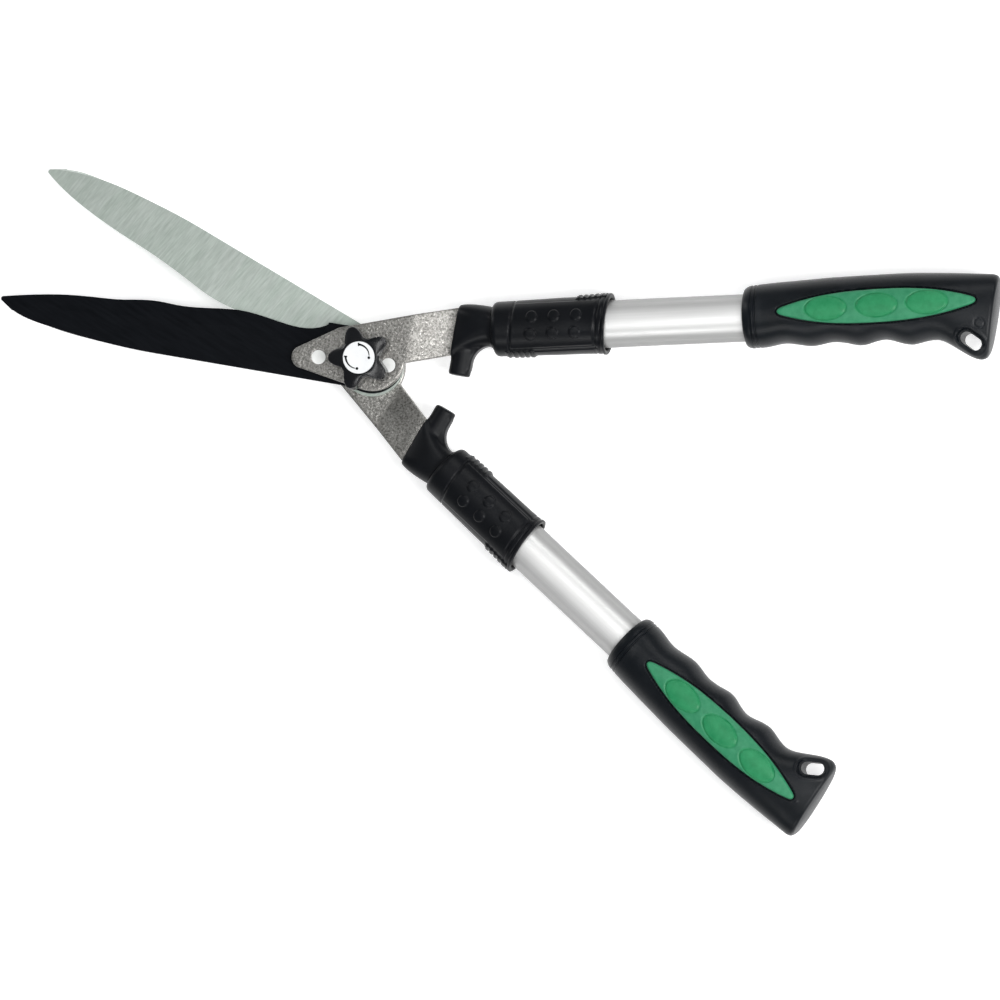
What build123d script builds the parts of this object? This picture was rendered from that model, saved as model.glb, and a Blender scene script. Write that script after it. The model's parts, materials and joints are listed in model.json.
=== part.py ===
from build123d import *
import os
from itertools import product
from math import cos, radians, sin

# Hedge shears with two crossing blades, a star knob on the pivot and a telescoping handle on each arm.
# Millimetres. The origin is on the pivot axis, at the rear face of the pivot bolt's head, and +Z runs
# from there to the star knob. +X runs along the tool towards the handles, and the front arm's handle is
# on the +Y side. The two arms are the same design: the rear one is the front one turned over about X.

# ---- driving dimensions -------------------------------------------------------------------------
half_opening = 10.4       # turn of each arm from the closed tool, in degrees
blade_thick = 3.0
tang_thick = 4.0
blade_gap = 0.1           # air between the two mating faces
edge_land = 0.5           # thickness left at the cutting edge
bolt_head_height = 3.0
bolt_r = 4.0
running_gap = 0.05        # radial clearance of every turning or sliding fit
body_gap = 0.3            # air between pieces that move past each other

blade_low = blade_gap / 2
blade_top = blade_low + blade_thick
tang_top = blade_top + tang_thick
mate_height = bolt_head_height + tang_top
handle_tilt = 12.0        # handle axis from the arm's own X
handle_offset = 15.07     # handle axis from the pivot

heel_r = 19.4
rivet_places = [(-27.3, -3.2), (15.8, -1.0)]
rivet_head_r = 4.3
rivet_shank_r = 2.5
rivet_sink = 1.8          # depth of the countersink at each end

stub_x = 58.2             # axis of the closing stop, along the arm
stub_r = 6.7
stub_end = 0.15           # height of the stop's end above the closed tool's centre line
joggle_from = 26.8        # where the tang starts down to the handle's middle plane
joggle_to = 47.0
tail_half_thick = tang_thick / 2
neck_from = 66.0          # stations below run along the handle axis
neck_to = 79.4
tube_from = 82.0
inner_tube_r = 12.7
inner_bore_r = 11.4
inner_tube_to = 350.0
plug_to = 106.0
pin_stations = [90.0, 100.0]
pin_r = 2.0
outer_tube_from = 114.0
outer_tube_to = 358.0
outer_tube_r = 14.3
outer_bore_r = 13.1
collet_from = 87.0
collet_to = 140.0
collar_from = 79.8
mouth_station = 150.0
mouth_slant = 7.4         # lean of the collar's mouth and panel lines, in degrees
bump_pitch = 13.6
grip_from = 233.0
knob_height = 11.5
star_tip_r = 19.2
star_lobe_r = 5.2
star_core_r = 12.9
star_turn = 199.0         # direction of one star arm, in degrees from +X
cap_r = 9.7

BASE = (Align.CENTER, Align.CENTER, Align.MIN)


# ---- frames -------------------------------------------------------------------------------------
def arm_plane(turn, facing):
    """Frame of one arm on the blades' mating plane, with Z out of that arm's own side of the tool."""
    x_dir = (cos(radians(turn)), sin(radians(turn)), 0)
    return Plane(origin=(0, 0, mate_height), x_dir=x_dir, z_dir=(0, 0, facing))


def handle_plane(arm):
    """Frame of the arm's handle: X along its axis, Y outward, Z as the arm's."""
    tilt = radians(handle_tilt)
    foot = (-handle_offset * sin(tilt), handle_offset * cos(tilt), 0)
    x_dir = arm.x_dir * cos(tilt) + arm.y_dir * sin(tilt)
    return Plane(origin=arm.from_local_coords(foot), x_dir=x_dir, z_dir=arm.z_dir)


def station(handle, along):
    """Plane across the handle axis: its X is outward and its Y is the handle's Z."""
    return Plane(origin=handle.from_local_coords((along, 0, 0)), x_dir=handle.y_dir, z_dir=handle.x_dir)


def axis_of(handle):
    """The handle's centre line."""
    return Axis(handle.origin, handle.x_dir)


# ---- shapes that several pieces share -----------------------------------------------------------
def sleeve(handle, start, end, outer_r, inner_r):
    """Ring along the handle axis, added to the current part."""
    with BuildSketch(station(handle, start)) as ring:
        Circle(outer_r)
        Circle(inner_r, mode=Mode.SUBTRACT)
    extrude(ring.sketch, amount=end - start)


def rod(handle, start, end, radius, mode=Mode.ADD):
    """Round bar along the handle axis, added to or cut from the current part."""
    with BuildSketch(station(handle, start)) as disc:
        Circle(radius)
    extrude(disc.sketch, amount=end - start, mode=mode)


def at(frame, x, y, z):
    """The frame moved to a point given in its own coordinates."""
    return Plane(origin=frame.from_local_coords((x, y, z)), x_dir=frame.x_dir, z_dir=frame.z_dir)


def rivet_shapes(arm, mode):
    """Both blade rivets of an arm, countersunk at each end, added to or cut from the current part."""
    for x, y in rivet_places:
        with Locations(at(arm, x, y, blade_low)):
            Cylinder(rivet_shank_r, tang_top - blade_low, align=BASE, mode=mode)
            Cone(rivet_head_r, rivet_shank_r, rivet_sink, align=BASE, mode=mode)
        with Locations(at(arm, x, y, tang_top - rivet_sink)):
            Cone(rivet_shank_r, rivet_head_r, rivet_sink, align=BASE, mode=mode)


def pin_shapes(handle, mode):
    """Two cross pins through the inner tube, added to or cut from the current part."""
    for along in pin_stations:
        with Locations(at(handle, along, 0, -inner_tube_r)):
            Cylinder(pin_r, 2 * inner_tube_r, align=BASE, mode=mode)


# ---- blades -------------------------------------------------------------------------------------
front_edge = [
    (-227, 1.6), (-210, 5.3), (-190, 8.6), (-170, 10.3), (-155, 11.4), (-143, 13.3), (-132, 14.2),
    (-118, 13.8), (-105, 14.7), (-92, 16.3), (-80, 17), (-68, 16), (-55, 14), (-42, 12.9), (-33, 14.3),
    (-27, 17),
]
rear_edge = [
    (-227, 1.6), (-210, 6.2), (-190, 9), (-170, 10.4), (-150, 11), (-135, 12), (-120, 13.5), (-108, 14.9),
    (-98, 15.3), (-87, 14.4), (-76, 13.2), (-66, 13.1), (-54, 14.8), (-42, 16.4), (-34, 16.9), (-27, 17),
]
bevel_line = [
    (-219, -4.6), (-205, -2.6), (-185, -0.8), (-165, 0.4), (-145, 3), (-130, 4.4), (-112, 4.2), (-95, 5.8),
    (-80, 7), (-64, 5.4), (-48, 4), (-36, 5.4), (-29, 8),
]


def blade_outline(edge, nose, tip_low):
    """Closed outline: cutting edge, heel step, heel arc, straight spine, curved spine and tip."""
    step_top = (-25.5, 18.6)
    heel_high = (0, 18.87)
    heel_low = (0, -18.87)
    spine_from = (-9, -17.3)
    spine_to = (-130, -17.2)
    with BuildLine() as outline:
        Spline(*edge)
        Line(edge[-1], step_top)
        Line(step_top, heel_high)
        ThreePointArc(heel_high, (4.5 + heel_r, 0), heel_low)
        Line(heel_low, spine_from)
        Line(spine_from, spine_to)
        Spline(spine_to, (-165, -15.5), (-195, -12), tip_low, tangents=[(-1, 0), (-0.88, 0.47)])
        ThreePointArc(tip_low, nose, edge[0])
    make_face(outline.edges())


def make_blade(arm, edge):
    """One blade: flat mating face, and a bevel on the outer face along the waved cutting edge."""
    with BuildPart() as blade:
        with BuildSketch(arm.offset(blade_low)):
            blade_outline(edge, (-228.2, 0.1), (-227, -1.4))
        extrude(amount=edge_land)
        with BuildSketch(arm.offset(blade_low + edge_land)):
            blade_outline(edge, (-228.2, 0.1), (-227, -1.4))
        with BuildSketch(arm.offset(blade_top)):
            blade_outline(bevel_line, (-220.2, -5.4), (-219, -6))
        loft(ruled=True)
        with Locations(arm):
            Cylinder(bolt_r + running_gap, 4 * tang_top, mode=Mode.SUBTRACT)
        rivet_shapes(arm, Mode.SUBTRACT)
    return blade


def make_rivets(arm):
    """The pair of flush rivets that hold a blade to its tang."""
    with BuildPart() as rivets:
        rivet_shapes(arm, Mode.ADD)
    return rivets


# ---- tangs --------------------------------------------------------------------------------------
def make_tang(arm, handle, square_hole):
    """Steel strip riveted on the blade, joggled to the middle plane, with a tail inside the handle."""
    side = Plane(origin=arm.origin, x_dir=arm.x_dir, z_dir=-arm.y_dir)
    high = tang_top - tail_half_thick
    strip_end = 59.0
    with BuildPart() as tang:
        with BuildSketch(side):
            with BuildLine():
                FilletPolyline((-70, high), (joggle_from, high), (joggle_to, 0), (140, 0), radius=20)
            trace(line_width=tang_thick)
        extrude(amount=90, both=True)
        with BuildSketch(arm):
            with BuildLine():
                Polyline(
                    (-55.3, -8.55), (-18.3, 16.4), (strip_end, 43.4), (strip_end, 14.4), (25, 1.8),
                    (5.5, 1.3), (2, -17.9), close=True,
                )
            nose = make_face()
            fillet(nose.vertices().sort_by(Axis.X)[0], radius=6.8)
            with Locations((5.5, 1.3)):
                Circle(19.5)
        extrude(amount=40, both=True, mode=Mode.INTERSECT)
        with BuildSketch(handle.offset(-tail_half_thick)):
            with Locations(((strip_end + plug_to) / 2 - 3, 0)):
                Rectangle(plug_to - strip_end, 14)
        extrude(amount=tang_thick)
        if square_hole:
            with BuildSketch(arm):
                Rectangle(2 * bolt_r + 1, 2 * bolt_r + 1)
            extrude(amount=2 * tang_top, mode=Mode.SUBTRACT)
        else:
            with Locations(arm):
                Cylinder(bolt_r + running_gap, 4 * tang_top, mode=Mode.SUBTRACT)
        rivet_shapes(arm, Mode.SUBTRACT)
        pin_shapes(handle, Mode.SUBTRACT)
    return tang


# ---- coupling -----------------------------------------------------------------------------------
def make_coupling(arm, handle, tang):
    """Moulded coupling round the tang: blended body, plug in the inner tube and closing stop."""
    front_face = Plane(origin=arm.from_local_coords((51.5, 26, 0)), x_dir=arm.y_dir, z_dir=arm.x_dir)
    stub_plane = Plane(origin=arm.from_local_coords((stub_x, stub_end, 0)), x_dir=arm.x_dir, z_dir=arm.y_dir)
    with BuildPart() as coupling:
        with BuildSketch(front_face):
            RectangleRounded(32, 15, 5)
        with BuildSketch(station(handle, neck_from)):
            with Locations((2.2, 0)):
                RectangleRounded(27, 21.5, 9)
        with BuildSketch(station(handle, neck_to)):
            with Locations((1.3, 0)):
                RectangleRounded(24.6, 24.6, 12)
        loft()
        with BuildSketch(stub_plane):
            Circle(stub_r)
        extrude(amount=24)
        with BuildSketch(arm):
            with BuildLine():
                Polyline(
                    (stub_x, 4), (stub_x, 36), (74, 36), (77.4, 21.4), (stub_x + stub_r, 18.7),
                    (stub_x + stub_r, 4), close=True,
                )
            make_face()
            corner = vertices().sort_by_distance((stub_x + stub_r, 18.7))[0]
            fillet(corner, radius=12)
        extrude(amount=4.5, both=True)
        rod(handle, neck_to - 1, tube_from, inner_tube_r - 0.1)
        rod(handle, tube_from, plug_to, inner_bore_r)
        add(tang.part, mode=Mode.SUBTRACT)
        pin_shapes(handle, Mode.SUBTRACT)
    return coupling


# ---- telescoping tubes --------------------------------------------------------------------------
def make_inner_tube(handle):
    """Tube fixed on the coupling's plug, cross drilled for the pins."""
    with BuildPart() as tube:
        sleeve(handle, tube_from, inner_tube_to, inner_tube_r, inner_bore_r)
        pin_shapes(handle, Mode.SUBTRACT)
    return tube


def make_tube_pins(handle):
    """Two cross pins, their ends ground to the tube's own round."""
    with BuildPart() as pins:
        pin_shapes(handle, Mode.ADD)
        with BuildSketch(station(handle, tube_from)):
            Circle(inner_tube_r)
        extrude(amount=plug_to - tube_from, mode=Mode.INTERSECT)
    return pins


def make_guide_bush(handle):
    """Flanged bush in the inner tube's far end, running in the outer tube."""
    with BuildPart() as bush:
        sleeve(handle, inner_tube_to - 15, inner_tube_to, inner_bore_r, inner_bore_r - 2)
        sleeve(handle, inner_tube_to, inner_tube_to + 6, outer_bore_r - running_gap, inner_bore_r - 2)
    return bush


def make_outer_tube(handle):
    """Handle tube, held by the collet in front and by the grip behind."""
    with BuildPart() as tube:
        sleeve(handle, outer_tube_from, outer_tube_to, outer_tube_r, outer_bore_r)
    return tube


def make_collet(handle):
    """Split bush: slit fingers round the inner tube, and a socket over the outer tube's end."""
    finger_end = 108.0
    socket_r = 15.5
    with BuildPart() as collet:
        with BuildSketch(handle):
            with BuildLine():
                Polyline(
                    (collet_from, inner_tube_r + running_gap), (collet_from, 14), (finger_end, 15),
                    (112.5, 15), (112.5, socket_r), (collet_to, socket_r), (collet_to, outer_tube_r),
                    (outer_tube_from, outer_tube_r), (outer_tube_from, inner_tube_r + running_gap), close=True,
                )
            make_face()
        revolve(axis=axis_of(handle))
        for turn in (0, 90):
            across = station(handle, collet_from)
            with BuildSketch(across):
                Rectangle(40, 2, rotation=45 + turn)
            extrude(amount=finger_end - collet_from - 4, mode=Mode.SUBTRACT)
    return collet


# ---- locking collar -----------------------------------------------------------------------------
def make_collar(handle):
    """Quarter-turn locking collar with a slanted mouth, side ribs and a panel of round bumps."""
    socket_bore = 15.5 + body_gap
    finger_bore = 15.0 + body_gap
    mouth = station(handle, mouth_station)
    mouth_cut = Plane(
        origin=mouth.origin,
        x_dir=mouth.x_dir,
        z_dir=mouth.z_dir * cos(radians(mouth_slant)) - mouth.x_dir * sin(radians(mouth_slant)),
    )
    slant = sin(radians(mouth_slant))
    with BuildPart() as collar:
        with BuildSketch(handle):
            with BuildLine():
                Line((collar_from, inner_tube_r + body_gap), (collar_from, 13.9))
                RadiusArc((collar_from, 13.9), (collar_from + 3, 16.5), 3)
                Line((collar_from + 3, 16.5), (90.5, 16.6))
                Line((90.5, 16.6), (91, 16.1))
                Line((91, 16.1), (92, 16.1))
                Line((92, 16.1), (92.5, 16.7))
                Line((92.5, 16.7), (143, 17.5))
                Line((143, 17.5), (143.5, 17))
                Line((143.5, 17), (144.5, 17))
                Line((144.5, 17), (145, 17.6))
                Line((145, 17.6), (156, 18.3))
                Line((156, 18.3), (156, socket_bore))
                Line((156, socket_bore), (111.5, socket_bore))
                Line((111.5, socket_bore), (111.5, finger_bore))
                Line((111.5, finger_bore), (86, finger_bore))
                Line((86, finger_bore), (86, inner_tube_r + body_gap))
                Line((86, inner_tube_r + body_gap), (collar_from, inner_tube_r + body_gap))
            make_face()
        revolve(axis=axis_of(handle))
        for side, first, base_r in ((1, 131.5, 17.4), (-1, 88.0, 16.6)):
            for index in range(5):
                with BuildSketch(station(handle, first + 3.4 * index)):
                    Circle(base_r + 1)
                    with Locations((side * 16, 0)):
                        Rectangle(12, 17, mode=Mode.INTERSECT)
                    Circle(base_r - 0.6, mode=Mode.SUBTRACT)
                extrude(amount=2)
        for facing, row, index in product((1, -1), (1, -1), range(3)):
            along = 104.7 + bump_pitch * index + 5.1 * row * slant
            with Locations(at(handle, along, 5.1 * row, facing * 16.4)):
                Cylinder(3.5, 1)
        with BuildSketch(mouth_cut):
            Circle(40)
        extrude(amount=20, mode=Mode.SUBTRACT)
    return collar


# ---- grip ---------------------------------------------------------------------------------------
# Sections of the grip: station, half widths outward and inward, and half thickness.
grip_sections = [
    (233, 15.6, 15.2, 14.9), (236, 18.7, 18.3, 18.1), (247, 20.0, 18.1, 18.4), (258, 20.6, 16.7, 18.3),
    (273.5, 21.3, 18.8, 18.3), (286, 21.9, 17.0, 18.3), (302.5, 22.2, 19.6, 18.3), (317, 22.4, 16.9, 18.2),
    (333.5, 22.5, 20.6, 18.0), (347.5, 22.0, 18.4, 17.6), (358, 21.4, 22.3, 16.6), (366, 20.9, 27.5, 15.6),
    (374.5, 20.2, 31.2, 14.4), (381, 19.8, 31.6, 13.2), (389, 19.2, 30.6, 12.2),
]
butt_station = 385.6         # where the slanted butt face crosses the handle axis
butt_slant = 0.17            # its run along the handle per millimetre outward
butt_round = 3.0
slot_place = (370.8, -20.7)
slot_turn = -37.0
recess_floor = 8.5           # height of the slot's recessed floors from the handle's middle plane
groove_stations = [238.6, 241.1]
inlay_from = 255.2
inlay_to = 375.0
inlay_half_width = 10.2
inlay_depth = 1.8
inlay_proud = 0.5
pad_proud = 1.1
pad_places = [284.6, 315.5, 346.0]
inlay_shifts = [(1, 2.4), (-1, 0.0)]    # side of the arm, and how far outward its inlay lies


def grip_loft(handle, grown):
    """The grip's outer body, grown all round by the given amount, added to the current part."""
    sections = []
    for along, outward, inward, half_thick in grip_sections:
        with BuildSketch(station(handle, along)) as section:
            with BuildLine():
                EllipticalCenterArc((0, 0), outward + grown, half_thick + grown, -90, arc_size=180)
                EllipticalCenterArc((0, 0), inward + grown, half_thick + grown, 90, arc_size=180)
            make_face()
        sections.append(section.sketch)
    loft(sections)


def almond(handle, shift):
    """Outline of the soft inlay: two full-bellied curves that meet at its ends."""
    middle = (inlay_from + inlay_to) / 2
    shoulder = 0.69 * (inlay_to - inlay_from) / 2
    shoulder_width = 0.61 * inlay_half_width
    with BuildSketch(handle) as outline:
        with BuildLine():
            for way in (1, -1):
                Spline(
                    (inlay_from, shift), (middle - shoulder, shift + way * shoulder_width),
                    (middle, shift + way * inlay_half_width),
                    (middle + shoulder, shift + way * shoulder_width), (inlay_to, shift),
                )
        make_face()
    return outline.sketch


def make_inlay(handle, core, facing, shift):
    """Soft inlay for one face of a grip, with three oval pads."""
    with BuildPart() as skin:
        grip_loft(handle, inlay_proud)
        extrude(almond(handle, shift), amount=30 * facing, mode=Mode.INTERSECT)
    with BuildPart() as pads:
        grip_loft(handle, pad_proud)
        with BuildSketch(handle):
            with Locations(*[(along, shift) for along in pad_places]):
                Ellipse(12.4, 7.2)
        extrude(amount=30 * facing, mode=Mode.INTERSECT)
    with BuildPart() as inlay:
        add(skin.part)
        add(pads.part)
        add(core.part, mode=Mode.SUBTRACT)
    return inlay


def make_grip(handle):
    """Moulded grip with finger bumps, a slanted butt, a hang slot and a blind bore for the tube."""
    reach = 50
    with BuildPart() as grip:
        grip_loft(handle, 0)
        with BuildSketch(handle):
            with BuildLine():
                Polyline(
                    (butt_station - butt_slant * reach, -reach), (butt_station + butt_slant * reach, reach),
                    (butt_station + reach, reach), (butt_station + reach, -reach), close=True,
                )
            make_face()
        extrude(amount=30, both=True, mode=Mode.SUBTRACT)
        butt = grip.faces().sort_by(axis_of(handle))[-1]
        fillet(butt.edges(), radius=butt_round)
        rod(handle, grip_from - 1, outer_tube_to, outer_tube_r, Mode.SUBTRACT)
        with BuildSketch(handle):
            with Locations(slot_place):
                SlotOverall(14, 7.6, rotation=slot_turn)
        extrude(amount=30, both=True, mode=Mode.SUBTRACT)
        for facing in (1, -1):
            with BuildSketch(handle.offset(facing * recess_floor)):
                with Locations(slot_place):
                    SlotOverall(18.6, 12, rotation=slot_turn)
            extrude(amount=30 * facing, mode=Mode.SUBTRACT)
        for along in groove_stations:
            with BuildSketch(station(handle, along)):
                Circle(30)
                Circle(18.0, mode=Mode.SUBTRACT)
            extrude(amount=0.8, mode=Mode.SUBTRACT)
    return grip


# ---- pivot --------------------------------------------------------------------------------------
washer_low = mate_height + tang_top + 0.05
spring_low = washer_low + 1.2
knob_low = spring_low + 1.0
knob_top = knob_low + knob_height
nut_low = knob_low + 0.6
nut_high = nut_low + 7


def make_pivot_bolt():
    """Bolt with a low round head, a square neck keyed in the rear tang and a plain shank."""
    with BuildPart() as bolt:
        with BuildSketch():
            Circle(10)
        head = extrude(amount=bolt_head_height)
        chamfer(head.faces().sort_by(Axis.Z)[0].edges(), length=0.8)
        with BuildSketch(Plane.XY.offset(bolt_head_height)):
            Rectangle(2 * bolt_r + 1, 2 * bolt_r + 1, rotation=-half_opening)
        extrude(amount=tang_thick)
        with BuildSketch(Plane.XY.offset(bolt_head_height)):
            Circle(bolt_r)
        extrude(amount=nut_high + 0.6 - bolt_head_height)
    return bolt


def make_washer(low, thick, outer_r):
    """Plain ring round the bolt."""
    with BuildPart() as washer:
        with BuildSketch(Plane.XY.offset(low)):
            Circle(outer_r)
            Circle(bolt_r + 0.2, mode=Mode.SUBTRACT)
        extrude(amount=thick)
    return washer


def make_spring_washer():
    """Split spring washer, one turn cut through at one place."""
    with BuildPart() as washer:
        with BuildSketch(Plane.XY.offset(spring_low)):
            Circle(7.5)
            Circle(bolt_r + 0.3, mode=Mode.SUBTRACT)
            with Locations((6, 0)):
                Rectangle(6, 0.8, mode=Mode.SUBTRACT)
        extrude(amount=0.9)
    return washer


def make_knob_nut():
    """Hexagonal insert that runs on the bolt."""
    with BuildPart() as nut:
        with BuildSketch(Plane.XY.offset(nut_low)):
            RegularPolygon(6.5, 6, major_radius=False)
            Circle(bolt_r + running_gap, mode=Mode.SUBTRACT)
        extrude(amount=nut_high - nut_low)
    return nut


def make_star_knob(nut):
    """Five-armed knob with sloping arms, a pocket for the insert and a seat for the cap."""
    with BuildPart() as knob:
        with BuildSketch(Plane.XY.offset(knob_low)):
            Circle(star_core_r)
            with PolarLocations(star_tip_r - star_lobe_r, 5, start_angle=star_turn):
                Circle(star_lobe_r)
            fillet(vertices(), radius=3)
        extrude(amount=knob_height)
        with BuildSketch(Plane.XZ):
            with BuildLine():
                Polyline((11.2, knob_top), (30, knob_top - 6), (30, knob_top + 1), (11.2, knob_top + 1), close=True)
            make_face()
        revolve(axis=Axis.Z, mode=Mode.SUBTRACT)
        with BuildSketch(Plane.XY.offset(knob_low)):
            Circle(bolt_r + 0.4)
        extrude(amount=knob_height, mode=Mode.SUBTRACT)
        with BuildSketch(Plane.XY.offset(nut_high)):
            Circle(7)
        extrude(amount=knob_top - 0.9 - nut_high, mode=Mode.SUBTRACT)
        with BuildSketch(Plane.XY.offset(knob_top - 0.9)):
            Circle(cap_r)
        extrude(amount=2, mode=Mode.SUBTRACT)
        with BuildSketch(Plane.XY.offset(nut_low)):
            RegularPolygon(6.5, 6, major_radius=False)
        extrude(amount=nut_high - nut_low, mode=Mode.SUBTRACT)
    return knob


def make_knob_cap():
    """Flat round cap pressed in the knob's seat."""
    with BuildPart() as cap:
        with BuildSketch(Plane.XY.offset(knob_top - 0.9)):
            Circle(cap_r)
        extrude(amount=1.2)
        chamfer(cap.faces().sort_by(Axis.Z)[-1].edges(), length=0.25)
    return cap


# ---- build and write ----------------------------------------------------------------------------
def save(piece, name):
    """Label a finished piece and write it under its node's name."""
    piece.part.label = name
    export_step(piece.part, f"parts/{name}.step")


def build_arm(side, arm, edge, square_hole):
    """Every piece of one arm and its telescoping handle."""
    handle = handle_plane(arm)
    tang = make_tang(arm, handle, square_hole)
    save(make_blade(arm, edge), f"{side}_blade")
    save(make_rivets(arm), f"{side}_blade_rivets")
    save(tang, f"{side}_tang")
    save(make_coupling(arm, handle, tang), f"{side}_coupling")
    save(make_inner_tube(handle), f"{side}_inner_tube")
    save(make_tube_pins(handle), f"{side}_tube_pins")
    save(make_guide_bush(handle), f"{side}_guide_bush")
    save(make_outer_tube(handle), f"{side}_outer_tube")
    save(make_collet(handle), f"{side}_lock_collet")
    save(make_collar(handle), f"{side}_lock_collar")
    grip = make_grip(handle)
    with BuildPart() as core:
        grip_loft(handle, -inlay_depth)
    with BuildPart() as recessed:
        add(grip.part)
        for facing, shift in inlay_shifts:
            inlay = make_inlay(handle, core, facing, shift)
            face = "top" if facing * arm.z_dir.Z > 0 else "back"
            save(inlay, f"{side}_grip_inlay_{face}")
            add(inlay.part, mode=Mode.SUBTRACT)
    save(recessed, f"{side}_grip")


os.makedirs("parts", exist_ok=True)
build_arm("front", arm_plane(half_opening, 1), front_edge, False)
build_arm("rear", arm_plane(-half_opening, -1), rear_edge, True)
nut = make_knob_nut()
save(make_pivot_bolt(), "pivot_bolt")
save(make_washer(washer_low, 1.15, 11), "tension_washer")
save(make_spring_washer(), "spring_washer")
save(nut, "knob_nut")
save(make_star_knob(nut), "star_knob")
save(make_knob_cap(), "knob_cap")
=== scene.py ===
import json
from math import atan2, cos, degrees, pi, radians, sin, sqrt, tan

import bmesh
import bpy
import numpy as np
from mathutils import Matrix, Vector


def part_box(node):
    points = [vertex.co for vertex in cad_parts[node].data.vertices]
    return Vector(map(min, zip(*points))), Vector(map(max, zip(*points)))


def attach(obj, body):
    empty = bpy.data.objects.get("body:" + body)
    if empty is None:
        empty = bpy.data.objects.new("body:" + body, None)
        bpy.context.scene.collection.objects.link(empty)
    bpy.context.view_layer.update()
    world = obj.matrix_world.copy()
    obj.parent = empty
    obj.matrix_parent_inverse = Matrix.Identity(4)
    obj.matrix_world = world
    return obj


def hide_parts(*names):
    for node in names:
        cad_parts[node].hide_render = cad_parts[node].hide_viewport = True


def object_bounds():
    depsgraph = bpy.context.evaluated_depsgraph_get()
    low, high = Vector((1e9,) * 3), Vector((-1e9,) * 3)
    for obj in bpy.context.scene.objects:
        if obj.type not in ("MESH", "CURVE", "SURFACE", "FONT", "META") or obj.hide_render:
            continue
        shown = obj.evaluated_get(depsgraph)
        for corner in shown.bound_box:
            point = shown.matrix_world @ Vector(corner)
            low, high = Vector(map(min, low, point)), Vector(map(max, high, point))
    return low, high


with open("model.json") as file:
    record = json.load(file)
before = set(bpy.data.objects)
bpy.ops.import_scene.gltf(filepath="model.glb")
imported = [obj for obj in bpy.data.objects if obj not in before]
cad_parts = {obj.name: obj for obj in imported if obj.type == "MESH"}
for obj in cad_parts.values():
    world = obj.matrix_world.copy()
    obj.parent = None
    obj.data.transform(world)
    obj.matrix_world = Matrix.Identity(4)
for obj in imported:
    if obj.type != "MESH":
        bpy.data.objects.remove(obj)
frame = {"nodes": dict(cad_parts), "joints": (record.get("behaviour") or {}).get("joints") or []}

cad_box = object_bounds()
MM = 0.001
joints = {joint["name"]: joint for joint in frame["joints"]}
nodes = frame["nodes"]   # the CAD model's objects, in metres
pivot = Vector(joints["blade_pivot"]["pos_m"])
SIDES = ("front", "rear")
TWIST_STATION = 120.0    # station of the collar's twist joint along the handle axis, in mm
TUBE_R = 14.3            # outer radius of the outer tube, in mm


# ---- small helpers --------------------------------------------------------------------------------
def smoothstep(low, high, value):
    """0 below low, 1 above high, and smooth between; works on arrays."""
    x = np.clip((value - low) / (high - low), 0, 1)
    return x * x * (3 - 2 * x)


def window(value, low, high, edge):
    """1 between low and high, falling to 0 over edge outside."""
    return smoothstep(low - edge, low, value) * (1 - smoothstep(high, high + edge, value))


def flow(points, x):
    """Smooth curve through (x, y) points, as a Catmull-Rom spline of y over x."""
    px = np.array([p[0] for p in points], float)
    py = np.array([p[1] for p in points], float)
    slope = np.gradient(py, px)
    x = np.clip(np.asarray(x, float), px[0], px[-1])
    i = np.clip(np.searchsorted(px, x, side="right") - 1, 0, len(px) - 2)
    h = px[i + 1] - px[i]
    u = (x - px[i]) / h
    return (
        (2 * u**3 - 3 * u**2 + 1) * py[i]
        + (u**3 - 2 * u**2 + u) * h * slope[i]
        + (-2 * u**3 + 3 * u**2) * py[i + 1]
        + (u**3 - u**2) * h * slope[i + 1]
    )


class Handle:
    """Frame of one handle in mm: along its axis, outward from the tool's middle, and up."""

    def __init__(self, side):
        twist = joints[f"{side}_lock_twist"]
        outward = 1 if side == "front" else -1
        self.along = np.array(twist["axis"], float)
        self.out = outward * np.array((-self.along[1], self.along[0], 0.0))
        self.up = np.array((0.0, 0.0, 1.0))
        self.origin = np.array(twist["pos_m"], float) - self.along * TWIST_STATION * MM

    def place(self, s, t, z):
        """World points, in metres, of handle coordinates in mm."""
        s, t, z = np.broadcast_arrays(np.asarray(s, float), t, z)
        offset = s[..., None] * self.along + t[..., None] * self.out + z[..., None] * self.up
        return self.origin + MM * offset


def new_object(name, verts, faces, smooth_angle=40):
    """Mesh object with outward normals, smooth except across edges sharper than smooth_angle degrees."""
    mesh = bpy.data.meshes.new(name)
    mesh.from_pydata([tuple(v) for v in verts], [], faces)
    work = bmesh.new()
    work.from_mesh(mesh)
    bmesh.ops.remove_doubles(work, verts=work.verts, dist=1e-7)
    bmesh.ops.recalc_face_normals(work, faces=work.faces)
    work.to_mesh(mesh)
    work.free()
    thing = bpy.data.objects.new(name, mesh)
    bpy.context.scene.collection.objects.link(thing)
    shade(thing, smooth_angle)
    return thing


def shade(thing, smooth_angle):
    """Smooth shading, with edges over the angle marked sharp."""
    mesh = thing.data
    work = bmesh.new()
    work.from_mesh(mesh)
    limit = radians(smooth_angle)
    for face in work.faces:
        face.smooth = True
    for edge in work.edges:
        edge.smooth = not (edge.is_manifold and edge.calc_face_angle(0.0) > limit)
    work.to_mesh(mesh)
    work.free()


def grid_faces(rows, columns, close_rows=False, close_columns=True):
    """Quads of a grid of points, wrapped round in either direction."""
    faces = []
    for i in range(rows if close_rows else rows - 1):
        for j in range(columns if close_columns else columns - 1):
            k, m = (i + 1) % rows, (j + 1) % columns
            faces.append((i * columns + j, i * columns + m, k * columns + m, k * columns + j))
    return faces


def apply_modifiers(thing):
    """The object's mesh with its modifiers baked in."""
    bpy.context.view_layer.update()
    evaluated = thing.evaluated_get(bpy.context.evaluated_depsgraph_get())
    mesh = bpy.data.meshes.new_from_object(evaluated)
    thing.modifiers.clear()
    thing.data = mesh


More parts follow.
